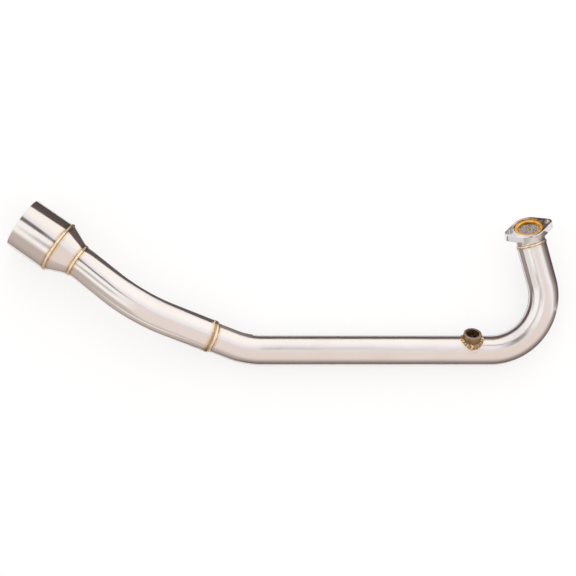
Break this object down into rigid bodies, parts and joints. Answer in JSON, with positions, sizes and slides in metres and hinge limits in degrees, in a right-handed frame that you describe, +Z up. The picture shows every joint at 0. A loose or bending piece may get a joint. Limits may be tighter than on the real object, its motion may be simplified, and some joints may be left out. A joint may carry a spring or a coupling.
{
  "type": "exhaust link pipe",
  "caption": "Bent steel exhaust link pipe with two-ear engine flange, ring gasket, sensor bung, slip joint and wide silencer socket.",
  "frame": {"origin": "centre of the engine flange's top face", "axes": "+Z up from the ground the pipe lies on, +X along the straight run towards the engine end, +Y from the straight run towards the flange and the socket"},
  "size_m": [0.5272, 0.155, 0.055],
  "materials": {
    "brushed_tube": "brushed stainless, with heat tint beside the welds",
    "flange_steel": "polished stainless",
    "weld_bead": "rippled, straw to brown heat tint",
    "bung_steel": "turned, browned by heat",
    "gasket_metal": "satin, gold coloured"
  },
  "bodies": {
    "root": {"header_tube": "brushed_tube", "link_tube": "brushed_tube", "reducer_cone": "brushed_tube", "silencer_socket": "brushed_tube", "head_elbow": "brushed_tube", "flange_plate": "flange_steel", "ring_gasket": "gasket_metal", "sensor_bung": "bung_steel", "head_weld": "weld_bead", "flange_weld": "weld_bead", "step_weld": "weld_bead", "cone_weld": "weld_bead", "socket_weld": "weld_bead", "bung_weld": "weld_bead"}
  },
  "joints": []
}
